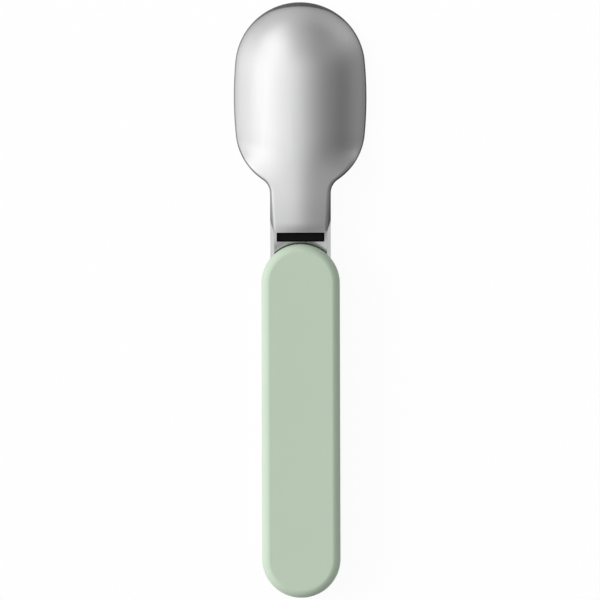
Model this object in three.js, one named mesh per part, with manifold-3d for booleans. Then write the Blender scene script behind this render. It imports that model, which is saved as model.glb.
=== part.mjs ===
// Folding spoon: a pressed steel head that turns on a click hinge in a two-shell plastic handle.
// Millimetres, +Z up, +Y towards the tip of the bowl. The spoon lies open and face down,
// with the bowl's rim and the handle's underside on z = 0 and the bowl's convex side up.
import * as THREE from "three";
import { mergeVertices } from "three/addons/utils/BufferGeometryUtils.js";
import Module from "manifold-3d";

const wasm = await Module();
wasm.setup();

// Whole object and handle
const OVERALL_LENGTH = 172;
const HANDLE_LENGTH = 102;
const HANDLE_WIDTH = 22.6;
const HANDLE_THICKNESS = 9;
const TOP_ROUND = 2.3;
const BASE_ROUND = 1.6;
const WALL = 1.8;
const SEAM = 0.2;
const LIP = 0.8;
const LIP_GAP = 0.15;
const LIP_DEPTH = 1;
const RIB = 1.2;
const RIB_DROP = 0.4;

// Bowl: the outline is a chain of tangent arcs from the tip to the neck
const BOWL_WIDTH = 38.4;
const BOWL_DEPTH = 6.9;
const SIDE_RADIUS = 111;
const SIDE_SWELL = 0.4;
const SHOULDER_START = 11;
const SHOULDER_RADIUS = 17.9;
const SHOULDER_FILLET = 4.8;
const SHEET = 1.2;
const TIP_FLAT = 0.3;

// Neck, slot and hinge ears of the steel head
const NECK_WIDTH = 17.5;
const RIDGE_ROLL = 3;
const SLOT_WIDTH = 13.8;
const SLOT_LENGTH = 2.6;
const SLOT_FROM_HANDLE = 0.7;
const FLANGE_REACH = 7;
const BEND_RADIUS = 1.4;
const BEND_LAP = 0.6;
const PLATE_END = 2;
const EAR_MARGIN = 1.05;

// Hinge
const PIN_DIAMETER = 2.5;
const PIN_HEIGHT = 2.6;
const PIN_FROM_TIP = 8;
const PIN_SEAT = 0.9;
const PIN_GAP = 0.1;
const FOLD_GAP = 0.2;
const STOP_GAP = 0.3;
const SIDE_GAP = 0.4;
const PARTING_OVER_PIN = 1.6;
const POCKET_CLEARANCE = 1.5;
const BULKHEAD = 1.6;
const KEEPER_GAP = 0.15;

// Black hinge insert
const INSERT_GAP = 0.3;
const INSERT_REACH = 5;
const INSERT_NOSE = 0.8;
const LUG_DEPTH = 0.4;
const CAM_RADIUS = 2.5;
const CAM_FLAT = 2.2;

// Detent spring and screws
const LEAF_THICKNESS = 0.5;
const LEAF_WIDTH = 8;
const LEAF_GAP = 0.05;
const LEAF_END_GAP = 0.4;
const LEAF_TAIL = 3;
const SPRING_SCREW_SETBACK = 4;
const SPRING_SCREW_HEAD = 3.2;
const SPRING_SCREW_SHANK = 1.4;
const SPRING_SCREW_HEAD_HEIGHT = 1;
const SCREW_BEHIND_LEAF = 6.9;
const SCREW_FROM_END = 12;
const SCREW_HEAD = 4;
const SCREW_SHANK = 1.7;
const SCREW_LAND = 0.2;
const SCREW_RECESS = 0.3;
const SCREW_GAP = 0.15;
const SCREW_TOP_COVER = 1.4;
const BOSS_WALL = 1.4;

// Facets of round faces
const OUTLINE_STEPS = 12;
const ROUND_STEPS = 4;
const BORE_STEPS = 24;
const SECTION_STEPS = 16;
const ARC_STEPS = 8;
const STATION_GAP = 0.05;
const WELD = 1e-4;
const SLOPE_STEP = 0.01;

// Places along the object
const TIP_Y = OVERALL_LENGTH / 2;
const END_Y = -OVERALL_LENGTH / 2;
const HANDLE_TIP_Y = END_Y + HANDLE_LENGTH;
const HANDLE_ROUND = HANDLE_WIDTH / 2;
const TIP_RADIUS = BOWL_WIDTH / 2 - SIDE_SWELL;
const PIN_Y = HANDLE_TIP_Y - PIN_FROM_TIP;
const PIN_RADIUS = PIN_DIAMETER / 2;
const BORE_RADIUS = PIN_RADIUS + PIN_GAP;
const EAR_RADIUS = PIN_RADIUS + EAR_MARGIN;
const EAR_OUT = NECK_WIDTH / 2;
const EAR_IN = EAR_OUT - SHEET;
const POCKET_HALF = EAR_OUT + SIDE_GAP;
const PARTING = PIN_HEIGHT + PARTING_OVER_PIN;
const COVER_EDGE = PARTING + SEAM;

// Heights: folded under the handle, the plate has to clear the handle's underside
const PLATE_UNDER = 2 * PIN_HEIGHT + FOLD_GAP;
const PLATE_TOP = PLATE_UNDER + SHEET;
const CEILING = PLATE_TOP + STOP_GAP;

// The plate, its slot and the flanges that deepen into the hinge ears
const PLATE_END_Y = PIN_Y + PLATE_END;
const SLOT_REAR_Y = HANDLE_TIP_Y + SLOT_FROM_HANDLE;
const SLOT_FRONT_Y = SLOT_REAR_Y + SLOT_LENGTH;
const RIDGE_Y = SLOT_FRONT_Y + RIDGE_ROLL;
const FLANGE_Y = HANDLE_TIP_Y + FLANGE_REACH;
const INSERT_Y = HANDLE_TIP_Y + INSERT_REACH;
const POCKET_REAR_Y = 2 * PIN_Y - FLANGE_Y - POCKET_CLEARANCE;
const CAVITY_FRONT_Y = POCKET_REAR_Y - BULKHEAD;
const SPRING_SCREW_Y = CAVITY_FRONT_Y - SPRING_SCREW_SETBACK;
const LEAF_UNDER = PIN_HEIGHT + CAM_RADIUS + LEAF_GAP;
const LEAF_TOP = LEAF_UNDER + LEAF_THICKNESS;
const SCREW_SPOTS = {
  cover_screw_front: SPRING_SCREW_Y - LEAF_TAIL - SCREW_BEHIND_LEAF,
  cover_screw_rear: END_Y + SCREW_FROM_END,
};

const sheetSteel = () => new THREE.MeshStandardMaterial({ color: 0xc4c6c8, metalness: 1, roughness: 0.18 });
const springSteel = () => new THREE.MeshStandardMaterial({ color: 0x9c9ea2, metalness: 1, roughness: 0.35 });
const greenShell = () => new THREE.MeshStandardMaterial({ color: 0xb9cab7, metalness: 0, roughness: 0.5 });
const blackNylon = () => new THREE.MeshStandardMaterial({ color: 0x161718, metalness: 0, roughness: 0.6 });

// Solids for joining and cutting

function solid(geometry) {
  const bare = geometry.clone();
  bare.deleteAttribute("normal");
  bare.deleteAttribute("uv");
  const merged = mergeVertices(bare, WELD);
  const vertProperties = merged.attributes.position.array;
  const triVerts = new Uint32Array(merged.index.array);
  return new wasm.Manifold(new wasm.Mesh({ numProp: 3, vertProperties, triVerts }));
}

function geometryOf(made) {
  const { vertProperties, triVerts } = made.getMesh();
  const geometry = new THREE.BufferGeometry();
  geometry.setAttribute("position", new THREE.BufferAttribute(vertProperties, 3));
  geometry.setIndex(new THREE.BufferAttribute(triVerts, 1));
  return geometry;
}

function box(x0, x1, y0, y1, z0, z1) {
  const geometry = new THREE.BoxGeometry(x1 - x0, y1 - y0, z1 - z0);
  geometry.translate((x0 + x1) / 2, (y0 + y1) / 2, (z0 + z1) / 2);
  return solid(geometry);
}

// A plan outline raised from z0 to z1.
function slab(shape, z0, z1) {
  const options = { depth: z1 - z0, bevelEnabled: false, curveSegments: OUTLINE_STEPS };
  const geometry = new THREE.ExtrudeGeometry(shape, options);
  geometry.translate(0, 0, z0);
  return solid(geometry);
}

// A profile drawn with y across and z up, carried along x.
function sideways(shape, x0, x1) {
  const options = { depth: x1 - x0, bevelEnabled: false, curveSegments: OUTLINE_STEPS };
  const geometry = new THREE.ExtrudeGeometry(shape, options);
  const across = new THREE.Vector3(0, 1, 0);
  const up = new THREE.Vector3(0, 0, 1);
  const along = new THREE.Vector3(1, 0, 0);
  geometry.applyMatrix4(new THREE.Matrix4().makeBasis(across, up, along));
  geometry.translate(x0, 0, 0);
  return solid(geometry);
}

// A profile drawn with x across and z up, carried along y. Half a turn makes the left-hand one.
function lengthways(shape, y0, y1, halfTurn) {
  const options = { depth: y1 - y0, bevelEnabled: false, curveSegments: OUTLINE_STEPS };
  const geometry = new THREE.ExtrudeGeometry(shape, options);
  geometry.rotateX(Math.PI / 2);
  geometry.translate(0, (y1 - y0) / 2, 0);
  geometry.rotateZ(halfTurn ? Math.PI : 0);
  geometry.translate(0, (y0 + y1) / 2, 0);
  return solid(geometry);
}

// A profile of [radius, z] pairs, listed upwards, turned about the upright line at y.
function turned(profile, y) {
  const points = profile.map(([radius, z]) => new THREE.Vector2(radius, z));
  const geometry = new THREE.LatheGeometry(points, BORE_STEPS);
  geometry.rotateX(Math.PI / 2);
  geometry.translate(0, y, 0);
  return solid(geometry);
}

function post(radius, y, z0, z1) {
  return turned([[0, z0], [radius, z0], [radius, z1], [0, z1]], y);
}

// A round bar on the fold axis, which runs along x through the pin.
function axisBar(radius, x0, x1) {
  const geometry = new THREE.CylinderGeometry(radius, radius, x1 - x0, BORE_STEPS);
  geometry.rotateZ(Math.PI / 2);
  geometry.translate((x0 + x1) / 2, PIN_Y, PIN_HEIGHT);
  return solid(geometry);
}

// Steel head

// The outline's arcs: tip circle, long side arc, shoulder and fillet into the neck.
function bowlOutline() {
  const half = BOWL_WIDTH / 2;
  const neck = NECK_WIDTH / 2;
  const tipY = TIP_Y - TIP_RADIUS;
  const widestY = tipY - Math.sqrt((SIDE_RADIUS - TIP_RADIUS) ** 2 - (SIDE_RADIUS - half) ** 2);
  const sideX = half - SIDE_RADIUS;
  const tipJoinY = tipY + (TIP_RADIUS * (tipY - widestY)) / (SIDE_RADIUS - TIP_RADIUS);
  const turn = Math.asin(SHOULDER_START / SIDE_RADIUS);
  const shoulderX = sideX + (SIDE_RADIUS - SHOULDER_RADIUS) * Math.cos(turn);
  const shoulderY = widestY - (SIDE_RADIUS - SHOULDER_RADIUS) * Math.sin(turn);
  const shoulderJoinY = widestY - SHOULDER_START;
  const filletX = neck + SHOULDER_FILLET;
  const reach = SHOULDER_RADIUS + SHOULDER_FILLET;
  const neckJoinY = shoulderY - Math.sqrt(reach ** 2 - (filletX - shoulderX) ** 2);
  const filletJoinY = neckJoinY + ((shoulderY - neckJoinY) * SHOULDER_FILLET) / reach;
  const arc = (radius, x, y0) => (y) => x + Math.sqrt(Math.max(radius ** 2 - (y - y0) ** 2, 0));
  const onTip = arc(TIP_RADIUS, 0, tipY);
  const onSide = arc(SIDE_RADIUS, sideX, widestY);
  const onShoulder = arc(SHOULDER_RADIUS, shoulderX, shoulderY);
  const onFillet = (y) => filletX - Math.sqrt(Math.max(SHOULDER_FILLET ** 2 - (y - neckJoinY) ** 2, 0));
  function halfWidth(y) {
    if (y > tipJoinY) return onTip(y);
    if (y > shoulderJoinY) return onSide(y);
    if (y > filletJoinY) return onShoulder(y);
    return y > neckJoinY ? onFillet(y) : neck;
  }
  return { halfWidth, tipY, tipJoinY, shoulderJoinY, filletJoinY, neckJoinY };
}

const OUTLINE = bowlOutline();

// Height of the convex face: a level crest, falling off as a parabola to both sides and to the tip.
// Towards the handle the crown of the neck rolls off into the flat hinge plate.
function headTop(x, y) {
  const half = BOWL_WIDTH / 2;
  const rimSlope = (2 * BOWL_DEPTH) / half;
  const bowlCrest = BOWL_DEPTH + SHEET * Math.hypot(1, rimSlope);
  const neckCrest = PLATE_TOP + BOWL_DEPTH * (NECK_WIDTH / BOWL_WIDTH) ** 2;
  const crest = THREE.MathUtils.lerp(
    neckCrest,
    bowlCrest,
    THREE.MathUtils.smoothstep(y, RIDGE_Y, OUTLINE.shoulderJoinY),
  );
  const past = Math.max(y - (TIP_Y - half), 0);
  const ridge = crest - BOWL_DEPTH * ((x / half) ** 2 + (past / half) ** 2);
  return THREE.MathUtils.lerp(PLATE_TOP, ridge, THREE.MathUtils.smoothstep(y, SLOT_REAR_Y, RIDGE_Y));
}

// The concave face lies one sheet thickness away, measured square to the sheet.
function headUnder(x, y) {
  const slopeX = (headTop(x + SLOPE_STEP, y) - headTop(x - SLOPE_STEP, y)) / (2 * SLOPE_STEP);
  const slopeY = (headTop(x, y + SLOPE_STEP) - headTop(x, y - SLOPE_STEP)) / (2 * SLOPE_STEP);
  return headTop(x, y) - SHEET * Math.hypot(1, slopeX, slopeY);
}

// The places along y where the sheet has a section, closer together where the outline turns.
function sheetStations() {
  const spread = (from, to, count) =>
    Array.from({ length: count }, (_, i) => THREE.MathUtils.lerp(from, to, i / count));
  const tipTurn = Math.asin((OUTLINE.tipJoinY - OUTLINE.tipY) / TIP_RADIUS);
  const tipTurns = spread(tipTurn, Math.PI / 2, ARC_STEPS);
  const stations = [
    ...spread(PLATE_END_Y, SLOT_REAR_Y, 2),
    ...spread(SLOT_REAR_Y, RIDGE_Y, ARC_STEPS),
    FLANGE_Y - BEND_LAP,
    FLANGE_Y,
    ...spread(RIDGE_Y, OUTLINE.neckJoinY, ARC_STEPS / 2),
    ...spread(OUTLINE.neckJoinY, OUTLINE.filletJoinY, ARC_STEPS / 2),
    ...spread(OUTLINE.filletJoinY, OUTLINE.shoulderJoinY, ARC_STEPS),
    ...spread(OUTLINE.shoulderJoinY, OUTLINE.tipJoinY, ARC_STEPS / 2),
    ...tipTurns.map((turn) => OUTLINE.tipY + TIP_RADIUS * Math.sin(turn)),
    TIP_Y,
  ];
  stations.sort((a, b) => a - b);
  return stations.filter((y, i) => i === 0 || y - stations[i - 1] > STATION_GAP);
}

// The sheet gives way to the bends of the flanges, and keeps a short flat at the very tip.
function sheetHalfWidth(y) {
  const inBend = 1 - THREE.MathUtils.smoothstep(y, FLANGE_Y - BEND_LAP, FLANGE_Y);
  return Math.max(OUTLINE.halfWidth(y) - BEND_RADIUS * inBend, TIP_FLAT);
}

// The pressed sheet as one closed skin: convex face, concave face and the edge all round.
function pressedSheet() {
  const stations = sheetStations();
  const columns = SECTION_STEPS + 1;
  const vertices = [];
  for (const face of [headTop, headUnder]) {
    for (const y of stations) {
      const half = sheetHalfWidth(y);
      for (let i = 0; i < columns; i += 1) {
        const x = half * ((2 * i) / SECTION_STEPS - 1);
        vertices.push(x, y, face(x, y));
      }
    }
  }
  const under = stations.length * columns;
  const triangles = [];
  const quad = (a, b, c, d) => triangles.push(a, b, c, a, c, d);
  for (let row = 0; row < stations.length - 1; row += 1) {
    for (let i = 0; i < SECTION_STEPS; i += 1) {
      const a = row * columns + i;
      quad(a, a + 1, a + 1 + columns, a + columns);
      quad(under + a, under + a + columns, under + a + columns + 1, under + a + 1);
    }
    const left = row * columns;
    const right = left + SECTION_STEPS;
    quad(left, left + columns, under + left + columns, under + left);
    quad(right, under + right, under + right + columns, right + columns);
  }
  const last = (stations.length - 1) * columns;
  for (let i = 0; i < SECTION_STEPS; i += 1) {
    quad(i, under + i, under + i + 1, i + 1);
    quad(last + i, last + i + 1, under + last + i + 1, under + last + i);
  }
  const geometry = new THREE.BufferGeometry();
  geometry.setAttribute("position", new THREE.Float32BufferAttribute(vertices, 3));
  geometry.setIndex(triangles);
  return solid(geometry);
}

// Section of the right-hand flange: it laps onto the plate, bends over and runs straight down.
function flangeSection() {
  const bendX = EAR_OUT - BEND_RADIUS;
  const bendZ = PLATE_TOP - BEND_RADIUS;
  const shape = new THREE.Shape();
  shape.moveTo(bendX - BEND_LAP, PLATE_UNDER);
  shape.lineTo(EAR_IN, PLATE_UNDER);
  shape.lineTo(EAR_IN, 0);
  shape.lineTo(EAR_OUT, 0);
  shape.lineTo(EAR_OUT, bendZ);
  shape.absarc(bendX, bendZ, BEND_RADIUS, 0, Math.PI / 2, false);
  shape.lineTo(bendX - BEND_LAP, PLATE_TOP);
  return shape;
}

// Angles of the two lines from a point that just touch a circle about the pin.
function touchAngles(y, z, radius) {
  const towards = Math.atan2(z - PIN_HEIGHT, y - PIN_Y);
  const open = Math.acos(radius / Math.hypot(y - PIN_Y, z - PIN_HEIGHT));
  return { lower: towards - open, upper: towards + open };
}

// Side view of an ear: round about the pin, and tapering up to the flange's front end.
function earProfile() {
  const front = PLATE_TOP - BEND_RADIUS;
  const shape = new THREE.Shape();
  const { lower } = touchAngles(FLANGE_Y, front, EAR_RADIUS);
  const { upper } = touchAngles(PLATE_END_Y, PLATE_TOP, EAR_RADIUS);
  shape.moveTo(PLATE_END_Y, PLATE_TOP + SHEET);
  shape.lineTo(PLATE_END_Y, PLATE_TOP);
  shape.absarc(PIN_Y, PIN_HEIGHT, EAR_RADIUS, upper, lower + 2 * Math.PI, false);
  shape.lineTo(FLANGE_Y, front);
  shape.lineTo(FLANGE_Y, PLATE_TOP + SHEET);
  return shape;
}

function spoonHead() {
  const outline = sideways(earProfile(), -EAR_OUT - SHEET, EAR_OUT + SHEET);
  const earRear = PIN_Y - EAR_RADIUS;
  const right = lengthways(flangeSection(), earRear, FLANGE_Y, false).intersect(outline);
  const left = lengthways(flangeSection(), earRear, FLANGE_Y, true).intersect(outline);
  const slot = box(-SLOT_WIDTH / 2, SLOT_WIDTH / 2, SLOT_REAR_Y, SLOT_FRONT_Y, 0, HANDLE_THICKNESS);
  const bore = axisBar(BORE_RADIUS, -NECK_WIDTH, NECK_WIDTH);
  return pressedSheet().add(right).add(left).subtract(slot).subtract(bore);
}

// Hinge insert: fills the channel between the ears, shows black in the slot and carries the click cam.
function hingeInsert() {
  const half = EAR_IN - INSERT_GAP;
  const top = PLATE_UNDER - INSERT_GAP;
  const nose = top - INSERT_NOSE;
  const flatReach = Math.sqrt(CAM_RADIUS ** 2 - CAM_FLAT ** 2);
  const flatTurn = Math.asin(CAM_FLAT / CAM_RADIUS);
  const shape = new THREE.Shape();
  shape.moveTo(PLATE_END_Y, top);
  shape.lineTo(PLATE_END_Y, PIN_HEIGHT + CAM_FLAT);
  shape.lineTo(PIN_Y - flatReach, PIN_HEIGHT + CAM_FLAT);
  shape.absarc(PIN_Y, PIN_HEIGHT, CAM_RADIUS, Math.PI - flatTurn, Math.PI + flatTurn, false);
  shape.lineTo(PIN_Y + flatReach, PIN_HEIGHT - CAM_FLAT);
  shape.lineTo(INSERT_Y, nose);
  shape.lineTo(INSERT_Y, top);
  const lugHalf = SLOT_WIDTH / 2 - INSERT_GAP;
  const lug = box(
    -lugHalf,
    lugHalf,
    SLOT_REAR_Y + INSERT_GAP,
    SLOT_FRONT_Y - INSERT_GAP,
    nose,
    PLATE_TOP - LUG_DEPTH,
  );
  const bore = axisBar(BORE_RADIUS, -NECK_WIDTH, NECK_WIDTH);
  return sideways(shape, -half, half).add(lug).subtract(bore);
}

// Handle shells

// The handle's plan: a slot shape with two full round ends.
function handlePlan() {
  const shape = new THREE.Shape();
  shape.absarc(0, HANDLE_TIP_Y - HANDLE_ROUND, HANDLE_ROUND, 0, Math.PI, false);
  shape.absarc(0, END_Y + HANDLE_ROUND, HANDLE_ROUND, Math.PI, 2 * Math.PI, false);
  shape.closePath();
  return shape;
}

// The whole handle as one block with both edges rounded alike.
function roundedHandle(round) {
  const geometry = new THREE.ExtrudeGeometry(handlePlan(), {
    depth: HANDLE_THICKNESS - 2 * round,
    bevelThickness: round,
    bevelSize: round,
    bevelOffset: -round,
    bevelSegments: ROUND_STEPS,
    curveSegments: OUTLINE_STEPS,
  });
  geometry.translate(0, 0, round);
  return solid(geometry);
}

// The hollow behind the hinge: round at the handle's end, square at the front.
function cavityPlan(frontY, wall) {
  const radius = HANDLE_ROUND - wall;
  const shape = new THREE.Shape();
  shape.moveTo(radius, frontY);
  shape.lineTo(-radius, frontY);
  shape.absarc(0, END_Y + HANDLE_ROUND, radius, Math.PI, 2 * Math.PI, false);
  shape.closePath();
  return shape;
}

function hingePocket(z0, z1) {
  return box(-POCKET_HALF, POCKET_HALF, POCKET_REAR_Y, HANDLE_TIP_Y + WALL, z0, z1);
}

// Half of each cheek's seat for the pin, open at the top so that the pin drops in.
function pinCradle(side) {
  const inner = side * (POCKET_HALF - SIDE_GAP);
  const outer = side * (POCKET_HALF + PIN_SEAT + PIN_GAP);
  const [x0, x1] = [Math.min(inner, outer), Math.max(inner, outer)];
  const mouth = box(x0, x1, PIN_Y - BORE_RADIUS, PIN_Y + BORE_RADIUS, PIN_HEIGHT, COVER_EDGE);
  return axisBar(BORE_RADIUS, x0, x1).add(mouth);
}

// The cover's tab that closes a cradle over the pin.
function pinKeeper(side) {
  const inner = side * (POCKET_HALF + KEEPER_GAP);
  const outer = side * (POCKET_HALF + PIN_SEAT);
  const [x0, x1] = [Math.min(inner, outer), Math.max(inner, outer)];
  const half = BORE_RADIUS - KEEPER_GAP;
  return box(x0, x1, PIN_Y - half, PIN_Y + half, PIN_HEIGHT + BORE_RADIUS, COVER_EDGE + WALL);
}

// A cover screw as [radius, z] pairs, made larger all round by a clearance for its hole.
function screwProfile(clearance) {
  const head = SCREW_HEAD / 2 + clearance;
  const shank = SCREW_SHANK / 2 + clearance;
  const start = clearance > 0 ? -SCREW_RECESS : SCREW_RECESS;
  const land = SCREW_RECESS + SCREW_LAND + clearance;
  const end = HANDLE_THICKNESS - SCREW_TOP_COVER - (clearance > 0 ? 0 : SCREW_RECESS);
  return [[0, start], [head, start], [head, land], [shank, land + head - shank], [shank, end], [0, end]];
}

function handleBase() {
  const lowerHalf = box(-HANDLE_WIDTH, HANDLE_WIDTH, -OVERALL_LENGTH, OVERALL_LENGTH, -WALL, PARTING);
  let made = roundedHandle(BASE_ROUND).intersect(lowerHalf);
  made = made.subtract(slab(cavityPlan(CAVITY_FRONT_Y, WALL), WALL, COVER_EDGE));
  const ribTop = PARTING - LIP_DEPTH - RIB_DROP;
  made = made.add(box(-RIB / 2, RIB / 2, END_Y + WALL, CAVITY_FRONT_Y, WALL / 2, ribTop));
  made = made.subtract(hingePocket(-WALL, COVER_EDGE));
  made = made.subtract(pinCradle(1)).subtract(pinCradle(-1));
  const bossRadius = SCREW_HEAD / 2 + BOSS_WALL;
  for (const y of Object.values(SCREW_SPOTS)) {
    made = made.add(post(bossRadius, y, WALL / 2, PARTING));
    made = made.subtract(turned(screwProfile(SCREW_GAP), y));
  }
  return made;
}

function handleCover() {
  const upperHalf = box(
    -HANDLE_WIDTH,
    HANDLE_WIDTH,
    -OVERALL_LENGTH,
    OVERALL_LENGTH,
    COVER_EDGE,
    HANDLE_THICKNESS + WALL,
  );
  const lipPlan = cavityPlan(CAVITY_FRONT_Y - LIP_GAP, WALL + LIP_GAP);
  let made = roundedHandle(TOP_ROUND).intersect(upperHalf);
  made = made.add(slab(lipPlan, PARTING - LIP_DEPTH, CEILING));
  made = made.subtract(slab(cavityPlan(POCKET_REAR_Y + BULKHEAD, WALL + LIP_GAP + LIP), 0, CEILING));
  made = made.subtract(hingePocket(0, CEILING));
  made = made.add(pinKeeper(1)).add(pinKeeper(-1));
  const bossRadius = SCREW_SHANK / 2 + BOSS_WALL;
  for (const y of Object.values(SCREW_SPOTS)) {
    made = made.add(post(bossRadius, y, COVER_EDGE, CEILING + SEAM));
    made = made.subtract(turned(screwProfile(SCREW_GAP), y));
  }
  const springBoss = SPRING_SCREW_SHANK / 2 + BOSS_WALL;
  made = made.add(post(springBoss, SPRING_SCREW_Y, LEAF_TOP + LEAF_GAP, CEILING + SEAM));
  const springBore = SPRING_SCREW_SHANK / 2 + SCREW_GAP;
  return made.subtract(post(springBore, SPRING_SCREW_Y, 0, HANDLE_THICKNESS - SCREW_TOP_COVER));
}

// Small hinge parts

function pivotPin() {
  const half = POCKET_HALF + PIN_SEAT;
  return axisBar(PIN_RADIUS, -half, half);
}

// A flat leaf under the ceiling whose free end presses on the cam.
function detentSpring() {
  const half = LEAF_WIDTH / 2;
  const tailY = SPRING_SCREW_Y - LEAF_TAIL;
  const leaf = box(-half, half, tailY, PLATE_END_Y - LEAF_END_GAP, LEAF_UNDER, LEAF_TOP);
  const hole = post(SPRING_SCREW_SHANK / 2 + SCREW_GAP, SPRING_SCREW_Y, 0, HANDLE_THICKNESS);
  return leaf.subtract(hole);
}

// A pan-head screw, head down, that clamps the leaf to the boss above it.
function springScrew() {
  const head = SPRING_SCREW_HEAD / 2;
  const shank = SPRING_SCREW_SHANK / 2;
  const seat = LEAF_UNDER - LEAF_GAP;
  const under = seat - SPRING_SCREW_HEAD_HEIGHT;
  const end = HANDLE_THICKNESS - SCREW_TOP_COVER - SCREW_RECESS;
  const profile = [[0, under], [head, under], [head, seat], [shank, seat], [shank, end], [0, end]];
  return turned(profile, SPRING_SCREW_Y);
}

// Assembly: the head's group turns about its own x axis, which is the pin

function piece(name, made, material) {
  const mesh = new THREE.Mesh(geometryOf(made), material);
  mesh.name = name;
  return mesh;
}

const handle = new THREE.Group();
handle.add(piece("handle_base", handleBase(), greenShell()));
handle.add(piece("handle_cover", handleCover(), greenShell()));
handle.add(piece("pivot_pin", pivotPin(), springSteel()));
handle.add(piece("detent_spring", detentSpring(), springSteel()));
handle.add(piece("spring_screw", springScrew(), springSteel()));
for (const [name, y] of Object.entries(SCREW_SPOTS)) {
  handle.add(piece(name, turned(screwProfile(0), y), springSteel()));
}

const head = new THREE.Group();
head.position.set(0, PIN_Y, PIN_HEIGHT);
head.add(piece("spoon_head", spoonHead(), sheetSteel()));
head.add(piece("hinge_insert", hingeInsert(), blackNylon()));
for (const mesh of head.children) {
  mesh.position.copy(head.position).negate();
}

const foldingSpoon = new THREE.Group();
foldingSpoon.add(handle, head);

export default foldingSpoon;
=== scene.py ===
# %% [markdown]
# # A folding spoon
# A pressed steel head turns on a pin inside a slim green plastic handle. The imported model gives
# every piece its place and size. This lesson dresses it: smooth surfaces, rolled edges, finishes
# and studio light, with each shape worked out as whole numpy arrays.

import bmesh
import bpy
import numpy as np
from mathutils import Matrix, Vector


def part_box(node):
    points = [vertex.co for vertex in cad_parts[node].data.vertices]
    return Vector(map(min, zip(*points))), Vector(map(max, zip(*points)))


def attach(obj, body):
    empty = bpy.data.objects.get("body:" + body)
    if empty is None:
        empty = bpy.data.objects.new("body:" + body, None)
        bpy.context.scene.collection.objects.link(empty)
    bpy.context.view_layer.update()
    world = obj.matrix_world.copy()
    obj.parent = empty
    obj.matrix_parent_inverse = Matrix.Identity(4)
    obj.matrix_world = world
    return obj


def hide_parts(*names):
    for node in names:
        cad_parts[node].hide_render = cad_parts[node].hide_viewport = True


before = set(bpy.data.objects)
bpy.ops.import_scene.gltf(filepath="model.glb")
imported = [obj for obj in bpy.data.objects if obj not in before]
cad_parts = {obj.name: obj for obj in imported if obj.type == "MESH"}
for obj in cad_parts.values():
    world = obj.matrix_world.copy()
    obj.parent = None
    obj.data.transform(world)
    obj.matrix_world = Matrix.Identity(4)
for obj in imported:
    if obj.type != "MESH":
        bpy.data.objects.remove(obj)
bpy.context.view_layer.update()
print("packed pieces:", ", ".join(sorted(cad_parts)))

# %% [markdown]
# The lesson measures in millimetres, as a toolmaker does, and turns to metres only when a mesh is
# made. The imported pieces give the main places, so a new pack moves everything with it.

# %% Places in millimetres
MM = 0.001


def place(node):
    """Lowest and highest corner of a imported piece, in millimetres."""
    low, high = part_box(node)
    return np.array(low) / MM, np.array(high) / MM


head_high = place("spoon_head")[1]
cover_low, cover_high = place("handle_cover")
pin_low, pin_high = place("pivot_pin")

TIP_Y = head_high[1]
BOWL_HALF = head_high[0]
HANDLE_HALF = cover_high[0]
HANDLE_TOP = cover_high[2]
HANDLE_TIP = cover_high[1]
HANDLE_END = cover_low[1]
PIN_Y, PIN_Z = (pin_low + pin_high)[1:] / 2
PIN_RADIUS = (pin_high[2] - pin_low[2]) / 2
print(f"spoon {TIP_Y - HANDLE_END:.1f} mm long, pin at y {PIN_Y:.2f}, z {PIN_Z:.2f}")

# %% [markdown]
# ## Camera
# The photograph looks straight down on the spoon, from so far away that nothing leans. An
# orthographic camera would do, but a long lens is what a photographer uses, and it gives other views
# a natural look too. The picture is 600 pixels wide, and 4 mm up one pixel covers 0.289 mm.

# %% Camera
PIXELS = 600
PIXEL_MM = 0.2888
LENS = 300
SENSOR = 36
SCALE_HEIGHT = 4
VIEW_CENTRE = (-0.2, -0.16)
VIEW_ROLL = -0.15

camera_data = bpy.data.cameras.new("camera")
camera_data.lens = LENS
camera_data.sensor_width = SENSOR
camera = bpy.data.objects.new("camera", camera_data)
bpy.context.scene.collection.objects.link(camera)
camera_height = PIXELS * PIXEL_MM * LENS / SENSOR + SCALE_HEIGHT
camera.location = np.array([*VIEW_CENTRE, camera_height]) * MM
camera.rotation_euler = (0, 0, np.radians(VIEW_ROLL))
bpy.context.scene.camera = camera
bpy.context.scene.view_settings.view_transform = "Standard"
print(f"camera {camera_height:.0f} mm up")

# %% [markdown]
# ## Light
# Polished steel looks like whatever stands round it, so most of the light is made as surroundings. A
# white screen hangs high on the left and fades over the top into a dark right side. Walls stand below
# it: white on the left, grey at the back, dark on the right and in front. A dark band runs along the
# horizon. In Blender the world's colour can depend on direction, which gives such a studio without
# lamps that show as hard shapes. Below lies a light table, whose white fades towards the horizon. Two
# soft lamps model the handle's edges, one low on the left and a weak one on the right, a touch rose so
# that pale edges stay neutral. They stay out of the mirror, as lamps behind a polarising filter do. All
# together give a face that looks up light of level one, so a colour renders about as it is written.

# %% One function for nodes
# A Mix node has sockets for each type of data. These are the numbers of its inputs and its colour.
FLOAT_A, FLOAT_B = 2, 3
COLOUR_A, COLOUR_B, COLOUR_RESULT = 6, 7, 2


def add_node(tree, kind, values=(), links=(), stops=(), **settings):
    """Adds a node with its settings, socket values, links and, for a ramp, its grey stops."""
    node = tree.nodes.new(kind)
    for key, value in settings.items():
        setattr(node, key, value)
    for socket, value in dict(values).items():
        node.inputs[socket].default_value = value
    for socket, source in dict(links).items():
        tree.links.new(source, node.inputs[socket])
    ends_first = [*stops[:1], *stops[-1:], *stops[1:-1]]
    for number, (position, grey) in enumerate(ends_first):
        elements = node.color_ramp.elements
        stop = elements[number] if number < 2 else elements.new(position)
        stop.position = position
        stop.color = (grey, grey, grey, 1)
    return node


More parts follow.
